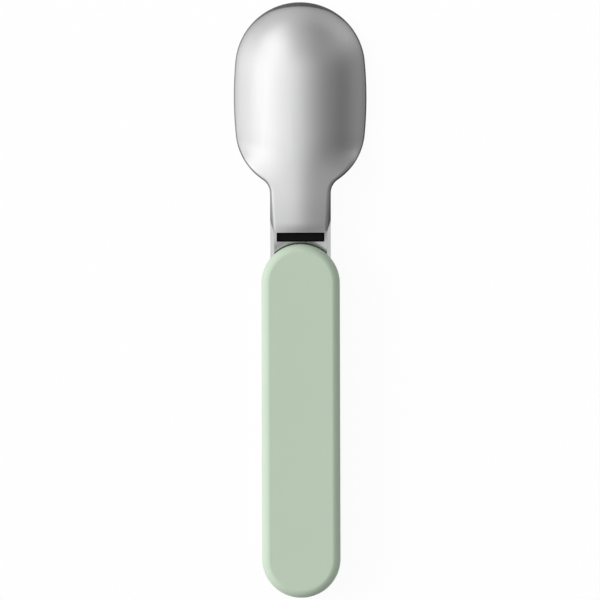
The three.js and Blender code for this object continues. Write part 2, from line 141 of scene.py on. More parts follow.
# %% Levels of the studio, from left to right or from front to back
STUDIO_STRENGTH = 1.53
HORIZON_LINE = 0.03
TABLE_LEVEL = 0.32
TABLE_EDGE, TABLE_WHITE, TABLE_SLANT = -0.02, -0.8, 0.1
SCREEN = [(0, 0.84), (0.08, 0.94), (0.12, 1.03), (0.18, 1.05), (0.23, 0.95), (0.32, 0.84), (0.38, 0.79)]
SCREEN += [(0.50, 0.61), (0.62, 0.395), (0.74, 0.235), (0.86, 0.145), (1, 0.12)]
BACK_SCREEN = [(0, 0.75), (0.15, 0.85), (0.22, 1.0), (0.30, 0.95), (0.38, 0.70), (0.44, 0.54), (0.5, 0.44)]
BACK_SCREEN += [(0.62, 0.30), (0.70, 0.255), (0.80, 0.27), (1, 0.30)]
SIDE_WALLS = [(0, 0.78), (0.1, 0.84), (0.5, 0.36), (0.75, 0.20), (0.92, 0.20), (1, 0.29)]
BACK_WALL = [(0, 0.62), (0.32, 0.58), (0.44, 0.53), (0.5, 0.48), (0.62, 0.39), (0.8, 0.42), (1, 0.54)]
LOW_WALLS = [(0, 0.35), (0.12, 0.30), (0.3, 0.12), (0.5, 0.05), (0.75, 0.04), (1, 0.05)]
DEPTH = [(0, 0.27), (0.2, 0.45), (0.335, 0.66), (0.455, 0.775), (0.5, 0.98), (0.75, 1)]
DEPTH += [(0.86, 0.88), (1, 0.85)]
RAMPS = {"screen": (SCREEN, "X"), "back screen": (BACK_SCREEN, "X"), "walls": (SIDE_WALLS, "X")}
RAMPS |= {"back wall": (BACK_WALL, "X"), "low walls": (LOW_WALLS, "X"), "depth": (DEPTH, "Y")}
STEPS = {"back screen": ("Y", 0.05, 0.5), "back wall": ("Y", 0.12, 0.72), "screen": ("Z", 0.48, 0.64)}
STEPS |= {"low walls": ("Z", 0.06, 0.12), "walls": ("Z", 0.20, 0.31)}
LAMPS = {"low_left_lamp": ((-0.92, 0.1, 0.36), 0.95), "right_fill_lamp": ((0.9, 0, 0.43), 0.2)}
LAMP_SPREAD = 40
LAMP_COLOUR = (1, 0.95, 1)
print("studio ramps:", ", ".join(RAMPS))

# %% Surroundings
world = bpy.data.worlds.new("studio")
bpy.context.scene.world = world
world.use_nodes = True
sky = world.node_tree
background = sky.nodes["Background"]
background.inputs["Color"].default_value = (1, 1, 1, 1)
direction = add_node(sky, "ShaderNodeTexCoord").outputs["Generated"]
towards = add_node(sky, "ShaderNodeSeparateXYZ", links={0: direction}).outputs
unit = {"From Min": -1.0, "From Max": 1.0}
part = {
    axis: add_node(sky, "ShaderNodeMapRange", unit, {"Value": towards[axis]}).outputs[0] for axis in "XY"
}
tone = {
    name: add_node(sky, "ShaderNodeValToRGB", links={0: part[axis]}, stops=stops).outputs[0]
    for name, (stops, axis) in RAMPS.items()
}
step = {
    name: add_node(
        sky,
        "ShaderNodeMapRange",
        {"From Min": low, "From Max": high},
        {"Value": towards[axis]},
        interpolation_type="SMOOTHSTEP",
    ).outputs[0]
    for name, (axis, low, high) in STEPS.items()
}
MIXES = [("screen", "back screen", "back screen"), ("walls", "back wall", "back wall")]
MIXES += [("back wall", "back screen", "screen"), (None, "low walls", "low walls")]
MIXES += [("low walls", "back screen", "walls")]
for under, over, by in MIXES:
    links = {0: step[by], FLOAT_B: tone[over]} | ({FLOAT_A: tone[under]} if under else {})
    mix = add_node(sky, "ShaderNodeMix", {FLOAT_A: HORIZON_LINE}, links, data_type="FLOAT")
    tone[over] = mix.outputs[0]
lit = add_node(
    sky, "ShaderNodeMath", links={0: tone["back screen"], 1: tone["depth"]}, operation="MULTIPLY"
).outputs[0]
level = add_node(sky, "ShaderNodeMath", {1: STUDIO_STRENGTH}, {0: lit}, operation="MULTIPLY").outputs[0]
print("surroundings:", len(MIXES), "mixes of", len(RAMPS), "ramps")

# %% White for the camera, and below the spoon for mirrors and glass too
ray = add_node(sky, "ShaderNodeLightPath").outputs
mirrored = add_node(
    sky,
    "ShaderNodeMath",
    links={0: ray["Is Glossy Ray"], 1: ray["Is Transmission Ray"]},
    operation="ADD",
).outputs[0]
below = add_node(sky, "ShaderNodeMath", {1: 0.0}, {0: towards["Z"]}, operation="LESS_THAN").outputs[0]
slanted = add_node(
    sky,
    "ShaderNodeMath",
    {1: TABLE_SLANT},
    {0: towards["X"], 2: towards["Z"]},
    operation="MULTIPLY_ADD",
).outputs[0]
table = add_node(
    sky,
    "ShaderNodeMapRange",
    {"From Min": TABLE_EDGE, "From Max": TABLE_WHITE},
    {"Value": slanted},
    interpolation_type="SMOOTHSTEP",
).outputs[0]
white = add_node(
    sky,
    "ShaderNodeMath",
    links={0: mirrored, 1: table, 2: ray["Is Camera Ray"]},
    operation="MULTIPLY_ADD",
    use_clamp=True,
).outputs[0]
level = add_node(
    sky, "ShaderNodeMix", {FLOAT_B: TABLE_LEVEL}, {0: below, FLOAT_A: level}, data_type="FLOAT"
).outputs[0]
seen_level = add_node(
    sky, "ShaderNodeMix", {FLOAT_B: 1.0}, {0: white, FLOAT_A: level}, data_type="FLOAT"
).outputs[0]
sky.links.new(seen_level, background.inputs["Strength"])
print("table white at height", TABLE_WHITE, "and dark at", TABLE_EDGE)

# %% Lamps
for name, (towards_lamp, lamp_level) in LAMPS.items():
    lamp_data = bpy.data.lights.new(name, "SUN")
    lamp_data.energy = lamp_level * np.pi
    lamp_data.angle = np.radians(LAMP_SPREAD)
    lamp_data.color = LAMP_COLOUR
    lamp = bpy.data.objects.new(name, lamp_data)
    lamp.rotation_euler = Vector(towards_lamp).to_track_quat("Z", "Y").to_euler()
    lamp.visible_glossy = False
    bpy.context.scene.collection.objects.link(lamp)
print("studio:", len(sky.nodes), "nodes and", len(LAMPS), "lamps")

# %% [markdown]
# ## Finishes
# Every finish starts from what the real surface is. Colours are written as sRGB hex values, and
# one function turns them to the linear values that shaders use. Patterns read Object coordinates,
# which are metres here, so a grain of 0.4 mm has a scale of 1 / 0.0004. Pictures of real surfaces
# would do as well, but patterns from nodes have no seams and keep their size on every piece.

# %% Colours and new finishes
def linear(colour):
    """Linear RGBA of an sRGB hex colour: the low end is a straight line, the rest a power of 2.4."""
    srgb = np.array([int(colour[at : at + 2], 16) for at in (1, 3, 5)]) / 255
    return (*np.where(srgb <= 0.04045, srgb / 12.92, ((srgb + 0.055) / 1.055) ** 2.4), 1)


def new_finish(name):
    """A material with its node tree, its shader and its Object coordinates."""
    material = bpy.data.materials.new(name)
    material.use_nodes = True
    tree = material.node_tree
    coordinates = add_node(tree, "ShaderNodeTexCoord").outputs["Object"]
    return material, tree, tree.nodes["Principled BSDF"], coordinates


def per_metre(size_mm):
    """Scale of a pattern whose features are so many millimetres across."""
    return 1 / (size_mm * MM)


print("half grey is", round(linear("#808080")[0], 3), "in linear light")

# %% [markdown]
# The head is stainless sheet, pressed and polished. Polishing leaves lines finer than a pixel, so
# they only soften the mirror a little, and the press leaves faint waves in it. Both are here: the
# waves as a very low bump, the lines as a change of roughness. The lines are drawn half a millimetre
# wide and 14 mm long, coarser than real ones, so that they show.

# %% Polished stainless steel
LINE_SIZE = (0.5, 14, 3)
WAVE_SIZE, WAVE_HEIGHT = 9, 0.012

polished_steel, tree, shader, coordinates = new_finish("polished stainless steel")
shader.inputs["Metallic"].default_value = 1
shader.inputs["Base Color"].default_value = linear("#d5d5d6")
lines_space = add_node(
    tree,
    "ShaderNodeMapping",
    {"Scale": [per_metre(size) for size in LINE_SIZE]},
    {"Vector": coordinates},
).outputs[0]
lines = add_node(
    tree, "ShaderNodeTexNoise", {"Scale": 1.0, "Detail": 3.0}, {"Vector": lines_space}
).outputs[0]
softness = add_node(
    tree, "ShaderNodeMapRange", {"To Min": 0.17, "To Max": 0.27}, {"Value": lines}
).outputs[0]
tree.links.new(softness, shader.inputs["Roughness"])
waves = add_node(
    tree,
    "ShaderNodeTexNoise",
    {"Scale": per_metre(WAVE_SIZE), "Detail": 1.0},
    {"Vector": coordinates},
).outputs[0]
ripple = add_node(
    tree, "ShaderNodeBump", {"Strength": 1.0, "Distance": WAVE_HEIGHT * MM}, {"Height": waves}
).outputs[0]
tree.links.new(ripple, shader.inputs["Normal"])
print("made", polished_steel.name)

# %% [markdown]
# The handle is moulded plastic in sage green, with the satin of a finely spark-eroded mould. The
# grain is drawn a quarter of a millimetre wide, coarser than a real one, and its bump still shows
# only close up. A slow change of shade, 16 mm from light to dark, keeps large faces from looking flat.

# %% Satin sage-green plastic
SHADE_SIZE = 16
GRAIN_SIZE, GRAIN_HEIGHT = 0.25, 0.004

green_plastic, tree, shader, coordinates = new_finish("satin moulded sage-green plastic")
shader.inputs["IOR"].default_value = 1.54
shader.inputs["Specular IOR Level"].default_value = 0.3
clouds = add_node(
    tree,
    "ShaderNodeTexNoise",
    {"Scale": per_metre(SHADE_SIZE), "Detail": 2.0},
    {"Vector": coordinates},
).outputs[0]
shades = add_node(
    tree,
    "ShaderNodeMix",
    {COLOUR_A: linear("#afc1ac"), COLOUR_B: linear("#b4c5b1")},
    {0: clouds},
    data_type="RGBA",
).outputs[COLOUR_RESULT]
tree.links.new(shades, shader.inputs["Base Color"])
grain = add_node(
    tree,
    "ShaderNodeTexNoise",
    {"Scale": per_metre(GRAIN_SIZE), "Detail": 2.0},
    {"Vector": coordinates},
).outputs[0]
satin = add_node(
    tree, "ShaderNodeMapRange", {"To Min": 0.48, "To Max": 0.6}, {"Value": grain}
).outputs[0]
tree.links.new(satin, shader.inputs["Roughness"])
pits = add_node(
    tree, "ShaderNodeBump", {"Strength": 1.0, "Distance": GRAIN_HEIGHT * MM}, {"Height": grain}
).outputs[0]
tree.links.new(pits, shader.inputs["Normal"])
print("made", green_plastic.name)

# %% [markdown]
# The insert is black nylon, coloured darker than real nylon. Its near-black is partly the nylon's own
# black and partly painted shade for the deep slot where the lug shows. Nylon takes up the fine lines
# that a milled mould has. They run across the spoon here, about 0.6 mm apart, and the speckle between
# them is as wide. Its edges reflect a soft grey.

# %% Black nylon, darkened with painted shade
SPECKLE_SIZE, MOULD_LINE_GAP, MOULD_LINE_HEIGHT = 0.6, 0.6, 0.02
# A wave pattern of scale one has about this many bands in a metre.
BANDS = 3.14

black_nylon, tree, shader, coordinates = new_finish("moulded black nylon")
shader.inputs["IOR"].default_value = 1.53
shader.inputs["Specular IOR Level"].default_value = 0.06
speckle = add_node(
    tree,
    "ShaderNodeTexNoise",
    {"Scale": per_metre(SPECKLE_SIZE), "Detail": 3.0},
    {"Vector": coordinates},
).outputs[0]
# Near-black colours, darker than nylon is: partly the nylon's own black, partly painted shade for the slot.
black_and_painted_shade = add_node(
    tree,
    "ShaderNodeMix",
    {COLOUR_A: linear("#070708"), COLOUR_B: linear("#141415")},
    {0: speckle},
    data_type="RGBA",
).outputs[COLOUR_RESULT]
tree.links.new(black_and_painted_shade, shader.inputs["Base Color"])
dull = add_node(
    tree, "ShaderNodeMapRange", {"To Min": 0.45, "To Max": 0.62}, {"Value": speckle}
).outputs[0]
tree.links.new(dull, shader.inputs["Roughness"])
mould_lines = add_node(
    tree,
    "ShaderNodeTexWave",
    {"Scale": per_metre(MOULD_LINE_GAP) / BANDS, "Distortion": 1.5},
    {"Vector": coordinates},
    bands_direction="Y",
).outputs[1]
scratches = add_node(
    tree,
    "ShaderNodeBump",
    {"Strength": 0.6, "Distance": MOULD_LINE_HEIGHT * MM},
    {"Height": mould_lines},
).outputs[0]
tree.links.new(scratches, shader.inputs["Normal"])
print("made", black_nylon.name)

# %% [markdown]
# Pin, leaf spring and screws are plain stainless steel as it comes from rolling and turning: darker
# than the polished head, with fine lines in it. The lines are drawn 0.3 mm wide, coarser than real
# ones, and show close up.

# %% Plain rolled steel
ROLLED_LINE_SIZE, ROLLED_LINE_HEIGHT = (0.3, 6, 0.3), 0.004

plain_steel, tree, shader, coordinates = new_finish("plain rolled stainless steel")
shader.inputs["Metallic"].default_value = 1
shader.inputs["Base Color"].default_value = linear("#b4b5b7")
roll_space = add_node(
    tree,
    "ShaderNodeMapping",
    {"Scale": [per_metre(size) for size in ROLLED_LINE_SIZE]},
    {"Vector": coordinates},
).outputs[0]
roll_lines = add_node(
    tree, "ShaderNodeTexNoise", {"Scale": 1.0, "Detail": 4.0}, {"Vector": roll_space}
).outputs[0]
rolled = add_node(
    tree, "ShaderNodeMapRange", {"To Min": 0.28, "To Max": 0.46}, {"Value": roll_lines}
).outputs[0]
tree.links.new(rolled, shader.inputs["Roughness"])
drawn = add_node(
    tree,
    "ShaderNodeBump",
    {"Strength": 0.5, "Distance": ROLLED_LINE_HEIGHT * MM},
    {"Height": roll_lines},
).outputs[0]
tree.links.new(drawn, shader.inputs["Normal"])
print("made", plain_steel.name)

# %% [markdown]
# ## From arrays to pieces
# A shape is a grid of points. Its faces join each point to the next one along both ways. Two points
# that fall on the same place are welded, so a grid may run to a line or a point and still close.
# Blender's editing tools could build the same shapes step by step. A formula gives all points at
# once, and a changed measure changes them all.

# %% Grids and halves
WELD_MM = 0.004


def grid_faces(rows, columns, around_rows=False, around_columns=False):
    """Four-sided faces of a grid whose points are numbered row by row."""
    number = np.arange(rows * columns).reshape(rows, columns)
    number = np.concatenate([number, number[:1]]) if around_rows else number
    number = np.concatenate([number, number[:, :1]], axis=1) if around_columns else number
    corners = (number[:-1, :-1], number[:-1, 1:], number[1:, 1:], number[1:, :-1])
    return np.stack(corners, axis=-1).reshape(-1, 4)


def both_halves(points, faces):
    """A right-hand half with its mirror image. Faces in the middle plane x = 0 are left out."""
    in_middle = np.abs(points[:, 0]) < WELD_MM
    faces = faces[~in_middle[faces].all(axis=1)]
    mirrored = points * (-1, 1, 1)
    return np.concatenate([points, mirrored]), np.concatenate([faces, faces[:, ::-1] + len(points)])


def joined(*parts):
    """Several (points, faces) pairs as one pair."""
    starts = np.cumsum([0] + [len(points) for points, _ in parts[:-1]])
    points = np.concatenate([points for points, _ in parts])
    return points, np.concatenate([faces + start for (_, faces), start in zip(parts, starts)])


print("a grid of 3 by 4 points has", len(grid_faces(3, 4)), "faces")

# %% Meshes
SHARP_DEGREES = 34


def welded_mesh(name, points, faces):
    """A mesh in metres with double points welded, empty faces gone and all faces pointing outwards."""
    mesh = bpy.data.meshes.new(name)
    mesh.from_pydata(points * MM, [], faces.tolist())
    work = bmesh.new()
    work.from_mesh(mesh)
    bmesh.ops.remove_doubles(work, verts=work.verts, dist=WELD_MM * MM)
    bmesh.ops.dissolve_degenerate(work, edges=work.edges, dist=WELD_MM * MM / 2)
    bmesh.ops.recalc_face_normals(work, faces=work.faces)
    work.to_mesh(mesh)
    work.free()
    return mesh


def smooth_but_sharp(mesh):
    """Smooth faces, with the corners that turn more than a set angle kept sharp."""
    mesh.polygons.foreach_set("use_smooth", np.ones(len(mesh.polygons), bool))
    mesh.set_sharp_from_angle(angle=np.radians(SHARP_DEGREES))


print("corners over", SHARP_DEGREES, "degrees stay sharp")


# %% Pieces
def new_piece(name, points, faces, finish, body, slot, *nodes):
    """A piece in its finish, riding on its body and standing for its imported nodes."""
    mesh = welded_mesh(name, points, faces)
    smooth_but_sharp(mesh)
    mesh.materials.append(finish)
    piece = bpy.data.objects.new(name, mesh)
    bpy.context.scene.collection.objects.link(piece)
    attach(piece, body)
    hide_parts(*nodes)
    print(f"{name}: {len(mesh.vertices)} points, {len(mesh.polygons)} faces")
    return piece


def ease_corners(piece, width, degrees=SHARP_DEGREES, segments=2):
    """A small round on every corner that turns more than an angle."""
    bevel = piece.modifiers.new("eased corners", "BEVEL")
    bevel.width = width * MM
    bevel.segments = segments
    bevel.limit_method = "ANGLE"
    bevel.angle_limit = np.radians(degrees)
    bevel.harden_normals = True


# %% [markdown]
# ## Floor
# The spoon lies on a light table under a thin film of white paper, much larger than the picture. The
# film is nearly clear, so what shows is the even white below, and it keeps just enough of the spoon's
# soft shadow. A solid white plane would do for the open spoon, but it would hide the folded head,
# which lies below it.

# %% White paper floor
FLOOR_HALF = 2500
FLOOR_DROP = 0.05
CLEAR_SHARE = 0.94

paper, tree, shader, coordinates = new_finish("white paper")
shader.inputs["Base Color"].default_value = linear("#f0f0f0")
shader.inputs["Roughness"].default_value = 1
shader.inputs["Specular IOR Level"].default_value = 0
clear = add_node(tree, "ShaderNodeBsdfTransparent").outputs[0]
film = add_node(
    tree, "ShaderNodeMixShader", {0: CLEAR_SHARE}, {1: shader.outputs[0], 2: clear}
).outputs[0]
tree.links.new(film, tree.nodes["Material Output"].inputs["Surface"])
corner_x, corner_y = np.meshgrid([-FLOOR_HALF, FLOOR_HALF], [-FLOOR_HALF, FLOOR_HALF])
corners = np.stack([corner_x, corner_y, np.full((2, 2), -FLOOR_DROP)], axis=-1).reshape(-1, 3)
floor_mesh = welded_mesh("paper_floor", corners, grid_faces(2, 2))
floor_mesh.materials.append(paper)
floor = bpy.data.objects.new("paper_floor", floor_mesh)
bpy.context.scene.collection.objects.link(floor)
print("floor", FLOOR_HALF * 2, "mm wide")

# %% [markdown]
# ## Steel head: outline
# Seen from above, half of the head's edge is a chain of arcs that run into each other: tip, long
# side, shoulder, the small hollow at the neck, then a straight neck. At every point the list also
# keeps the direction that leads out of the sheet. A Bézier curve could be drawn by eye instead, but
# arcs have true radii, as the press tool has, and each knows its outward direction.

# %% Measures of the outline
SIDE_RADIUS = 111
TIP_SWELL = 0.4
TIP_RADIUS = BOWL_HALF - TIP_SWELL
SHOULDER_START = 11
SHOULDER_RADIUS = 17.9
SHOULDER_FILLET = 4.8
NECK_HALF = 8.75
SLOT_HALF = 6.9
SLOT_REAR = HANDLE_TIP + 0.7
SLOT_FRONT = SLOT_REAR + 2.6
PLATE_END = PIN_Y + 2
print(f"slot from y {SLOT_REAR:.2f} to {SLOT_FRONT:.2f}, plate's end at {PLATE_END:.2f}")

# %% Edge of the head
TIP_STEPS, SIDE_STEPS, SHOULDER_STEPS, FILLET_STEPS = 56, 36, 40, 16
NECK_STEPS, SLOT_STEPS, PLATE_STEPS = 30, 8, 10


def arc(centre, radius, start, stop, count, side=1):
    """Points of an arc between two angles in degrees, without the last, and their outward directions."""
    turn = np.radians(np.linspace(start, stop, count, endpoint=False))
    ray = np.stack([np.cos(turn), np.sin(turn)], axis=1)
    return np.array(centre) + radius * ray, side * ray


def head_edge():
    """Right-hand edge from the tip to the plate's end. Each arc's centre lies on its neighbour's end ray."""
    tip_y = TIP_Y - TIP_RADIUS
    side_x = BOWL_HALF - SIDE_RADIUS
    gap = SIDE_RADIUS - TIP_RADIUS
    widest_y = tip_y - np.sqrt(gap**2 - side_x**2)
    tip_turn = np.arcsin((tip_y - widest_y) / gap)
    turn = np.arcsin(SHOULDER_START / SIDE_RADIUS)
    inner = SIDE_RADIUS - SHOULDER_RADIUS
    shoulder = np.array([side_x + inner * np.cos(turn), widest_y - inner * np.sin(turn)])
    fillet_x = NECK_HALF + SHOULDER_FILLET
    reach = SHOULDER_RADIUS + SHOULDER_FILLET
    fillet_y = shoulder[1] - np.sqrt(reach**2 - (fillet_x - shoulder[0]) ** 2)
    lean = np.degrees(np.arctan2(fillet_y - shoulder[1], fillet_x - shoulder[0]))
    tip_turn, turn = np.degrees([tip_turn, turn])
    neck_y = np.concatenate(
        [
            np.linspace(fillet_y, SLOT_FRONT, NECK_STEPS, endpoint=False),
            np.linspace(SLOT_FRONT, SLOT_REAR, SLOT_STEPS, endpoint=False),
            np.linspace(SLOT_REAR, PLATE_END, PLATE_STEPS),
        ]
    )
    neck = np.stack([np.full_like(neck_y, NECK_HALF), neck_y], axis=1)
    chain = [
        arc((0, tip_y), TIP_RADIUS, 90, tip_turn, TIP_STEPS),
        arc((side_x, widest_y), SIDE_RADIUS, tip_turn, -turn, SIDE_STEPS),
        arc(shoulder, SHOULDER_RADIUS, -turn, lean, SHOULDER_STEPS),
        arc((fillet_x, fillet_y), SHOULDER_FILLET, lean + 180, 180, FILLET_STEPS, -1),
        (neck, np.tile([1.0, 0.0], (len(neck), 1))),
    ]
    edge = np.concatenate([points for points, _ in chain])
    outward = np.concatenate([rays for _, rays in chain])
    return edge, outward


edge, outward = head_edge()
print(f"head edge: {len(edge)} stations, from y {edge[0, 1]:.1f} to {edge[-1, 1]:.1f}")

# %% [markdown]
# ## Steel head: sheet
# The convex face is a height over the plan. Across the bowl it is a parabola, and across the neck a
# curve that runs straighter at the sides. Along the spoon, the crest is level over the bowl and falls
# off to the tip. The neck slopes down gently, curls a little more and rolls into the hinge plate, and
# the plate curves down where it slips under the handle. The concave face lies one sheet thickness
# below. A subdivided cage could be pushed into this shape, but polished steel shows every uneven step,
# and a formula has none.

# %% Easing and fall across the head
EASE = 6
NECK_BOW = 1.25
NECK_FLAT = 4.0
BOW_FROM, BOW_TO = 29, 49


def smooth_step(value, start, stop):
    """0 before start, 1 after stop, and 6p⁵ − 15p⁴ + 10p³ of the way p between them."""
    part = np.clip((value - start) / (stop - start), 0, 1)
    return part**3 * (10 - 15 * part + 6 * part**2)


def eased(distance):
    """A distance that eases in from nothing: half of d + √(d² + e²)."""
    return (distance + np.hypot(distance, EASE)) / 2


def past_crest(y):
    """How far y lies past the bowl's centre, eased in, and true at the tip."""
    centre = TIP_Y - BOWL_HALF
    return eased(y - centre) * BOWL_HALF / eased(BOWL_HALF)


def across(x, y):
    """Fall across: x² on the bowl, and bow · 2x² / (1 + √(1 + (x / flat)²)) on the neck."""
    neck = 1 - smooth_step(y, BOW_FROM, BOW_TO)
    bow = 1 + (NECK_BOW - 1) * neck
    return bow * 2 * x**2 / (1 + np.sqrt(1 + (neck * x / NECK_FLAT) ** 2))


print(f"the neck's side falls {across(NECK_HALF, BOW_FROM) / NECK_HALF**2:.2f} times as far as a parabola")

# %% Height of both faces
SHEET = 1.2
BOWL_DEPTH = 6.9
PLATE_TOP = 5.5
PLATE_UNDER = 4.3
DIP, DIP_START, DIP_END = 0.75, 3.5, -0.4
ROLL_FRONT, ROLL_REAR = 22.6, 14.4
CREST_Y = 42
NECK_SLOPE = 0.05
CURL_FROM, NECK_CURL = 30, 0.0035
SLOPE_STEP = 0.01
BOWL_SPOT, PLATE_SPOT = 55.0, 14.0


def plate_height(x, y):
    """Hinge plate: level, then down by dip · p², where p is the way in towards the handle's tip."""
    from_handle = np.hypot(x, y - HANDLE_TIP + HANDLE_HALF) - HANDLE_HALF
    way_in = np.clip((DIP_START - from_handle) / (DIP_START - DIP_END), 0, 1)
    return PLATE_TOP - DIP * way_in**2


def crown(x, y):
    """Convex face: crest − depth · (across + past²) / half², rolled into the plate at the rear.

    The crest falls to the rear by slope · way, and behind CURL_FROM by curl · way² as well.
    """
    bowl_crest = BOWL_DEPTH + SHEET * np.hypot(1, 2 * BOWL_DEPTH / BOWL_HALF)
    curl = NECK_CURL * np.maximum(CURL_FROM - y, 0) ** 2
    crest = bowl_crest - NECK_SLOPE * eased(CREST_Y - y) - curl
    ridge = crest - BOWL_DEPTH * (across(x, y) + past_crest(y) ** 2) / BOWL_HALF**2
    plate = plate_height(x, y)
    return plate + (ridge - plate) * smooth_step(y, ROLL_REAR, ROLL_FRONT)


def hollow(x, y):
    """Concave face: the convex one less thickness · √(1 + slopes²), but level under the hinge plate."""
    slope_x = (crown(x + SLOPE_STEP, y) - crown(x - SLOPE_STEP, y)) / (2 * SLOPE_STEP)
    slope_y = (crown(x, y + SLOPE_STEP) - crown(x, y - SLOPE_STEP)) / (2 * SLOPE_STEP)
    lowest = np.where(y < ROLL_FRONT, PLATE_UNDER, 0)
    return np.maximum(crown(x, y) - SHEET * np.sqrt(1 + slope_x**2 + slope_y**2), lowest)


print(f"crest {crown(0, BOWL_SPOT):.2f} mm up, plate {crown(0, PLATE_SPOT):.2f} mm up")

# %% [markdown]
# ## Steel head: rim, flanges and slot
# A section of the head runs from the crest out to the edge and back along the underside. On the bowl
# the edge is coined to a narrow steep band, widest at the tip. Towards the handle the same band turns
# into the bend of a flange that reaches down to the hinge ears. Carried along the edge, the section
# makes the whole head. The slot for the black insert is left out of the grid and gets its own walls.
# A Solidify modifier would give an even wall, but neither the coined band nor the flange.

# %% Stations along the edge
RIM_AT = [21.5, 26, 31, 40, 70, 80, 84, 86]
RIM_WIDE = [1.15, 0.8, 0.52, 0.4, 0.4, 0.42, 0.72, 1.35]
BEND_FROM, BEND_TO = 24.2, 17.5

station_y = edge[:, 1:]
rim_wide = np.interp(station_y, RIM_AT, RIM_WIDE)
rim_start = edge - outward * rim_wide
bent = 1 - smooth_step(station_y, BEND_TO, BEND_FROM)
print(f"rim {rim_wide.min():.2f} to {rim_wide.max():.2f} mm wide")

# %% From the crest to the rim
FAN_Y, FAN_SHARE = 56.0, 0.5
ON_FACE = 26


def sheet_lines():
    """Both faces from the spine to the rim: spine + share · (rim − spine), on crown and on hollow."""
    spine = np.where(station_y > FAN_Y, FAN_Y + FAN_SHARE * (station_y - FAN_Y), station_y)
    slot_share = SLOT_HALF / (NECK_HALF - RIM_WIDE[0])
    share = np.append(np.linspace(0, slot_share, ON_FACE), 1)
    x = rim_start[:, :1] * share
    y = spine + (rim_start[:, 1:] - spine) * share
    return np.stack([x, y, crown(x, y)], axis=-1), np.stack([x, y, hollow(x, y)], axis=-1)


top, under = sheet_lines()
print("faces of the sheet:", top.shape[0], "lines of", top.shape[1], "points each")

# %% Rim
RIM_SLOPE, RIM_LEAST, RIM_BEND = 0.88, 0.05, 0.12
BEND_DEGREES = 62
BEND_SOFT = (-0.04, 0.16)
BEND_SPAN = 0.25
ON_RIM = 9


def rim_lines():
    """From the face to the edge: coined by slope · width · p^(1 + bend), or as steep as the flange."""
    part = np.linspace(0, 1, ON_RIM + 1)[1:]
    rim = edge[:, None] - outward[:, None] * (rim_wide * (1 - part))[..., None]
    start_z = crown(rim_start[:, :1], rim_start[:, 1:])
    plain_slope = (start_z - crown(edge[:, :1], station_y)) / rim_wide
    steeper = np.maximum(RIM_SLOPE - plain_slope, RIM_LEAST)
    coined = steeper * rim_wide * part ** (1 + RIM_BEND) / (1 + RIM_BEND)
    coined_z = crown(rim[..., 0], rim[..., 1]) - coined
    fall = -np.diff(np.concatenate([start_z, coined_z], axis=1))
    steep = np.tan(np.radians(BEND_DEGREES)) * rim_wide / ON_RIM * smooth_step(part, *BEND_SOFT)
    flange_from = 1 - (1 + BEND_SPAN) * bent
    flanged = smooth_step(part, flange_from, flange_from + BEND_SPAN)
    rim_z = start_z - np.cumsum(fall + flanged * (steep - fall), axis=1)
    return np.dstack([rim, rim_z])


rim = rim_lines()
print("rim:", rim.shape[1], "points on each line")

# %% Flange, and the inner side of the edge
FLANGE_FRONT = (23.0, 4.0)
FLANGE_REAR = (8.73, 0.42)
LEG_SHARE = 0.86
ON_LEG = 4


def flange_lines(rim_z, under_z):
    """Down the outside to the flange's lower edge, up its inside, and round a quarter to the underside."""
    flange = np.interp(station_y, [FLANGE_REAR[0], FLANGE_FRONT[0]], [FLANGE_REAR[1], FLANGE_FRONT[1]])
    flange = np.where(station_y > FLANGE_FRONT[0] + SHEET, np.inf, flange)
    bottom = np.minimum(hollow(edge[:, :1], station_y), flange)
    down = np.linspace(0, 1, ON_LEG + 1)[1:]
    skirt = np.dstack([np.repeat(edge[:, None], ON_LEG, axis=1), rim_z + (bottom - rim_z) * down])

    leg = edge - outward * rim_wide * LEG_SHARE
    leg_top = hollow(leg[:, :1], leg[:, 1:]) - bent * rim_wide * (1 - LEG_SHARE)
    leg_bottom = np.minimum(leg_top, flange)
    leg_z = leg_bottom + (leg_top - leg_bottom) * (down - down[0])
    legs = np.dstack([np.repeat(leg[:, None], ON_LEG, axis=1), leg_z])

    fold = np.linspace(0, np.pi / 2, ON_RIM, endpoint=False)
    inset = rim_wide * (LEG_SHARE + (1 - LEG_SHARE) * (1 - np.cos(fold)))
    fold_z = leg_top + (under_z - leg_top) * np.sin(fold)
    folds = np.dstack([edge[:, None] - outward[:, None] * inset[..., None], fold_z])
    return np.concatenate([skirt, legs, folds], axis=1)


flanges = flange_lines(rim[:, -1:, 2], under[:, -1:, 2])
sections = np.concatenate([top, rim, flanges, under[:, ::-1]], axis=1)
print("head:", sections.shape[0], "sections of", sections.shape[1], "points")


# %% Faces of the head
def strip(line, other):
    """Faces between two lines of point numbers."""
    return np.stack([line[:-1], line[1:], other[1:], other[:-1]], axis=-1)


def head_faces(stations, count):
    """Faces of the sections, without the slot, with the slot's walls and the plate's rear end."""
    number = np.arange(stations * count).reshape(stations, count)
    mirror = number[:, ::-1]
    front = int(np.argmin(np.abs(edge[:, 1] - SLOT_FRONT)))
    rear = int(np.argmin(np.abs(edge[:, 1] - SLOT_REAR)))
    side = ON_FACE - 1
    station, point = np.divmod(np.arange((stations - 1) * (count - 1)), count - 1)
    inside = np.minimum(point, count - 2 - point) < side
    skin = grid_faces(stations, count)[~(inside & (station >= front) & (station < rear))]
    walls = [strip(number[row, : side + 1], mirror[row, : side + 1]) for row in (front, rear)]
    cheek = strip(number[front : rear + 1, side], mirror[front : rear + 1, side])
    end = strip(number[-1, : count // 2], mirror[-1, : count // 2])
    return np.concatenate([skin, *walls, cheek, end])


sheet = both_halves(sections.reshape(-1, 3), head_faces(*sections.shape[:2]))
print("sheet:", len(sheet[1]), "faces before welding")

# %% [markdown]
# The hinge ears are the rear ends of the flanges: flat lobes round the pin, each with a bore. Seen
# from the side, a lobe is the distance from the pin to its outline, angle by angle, so a ring of
# points from bore to outline makes the plate. The bore could be cut with a Boolean modifier, but a
# ring has it from the start.

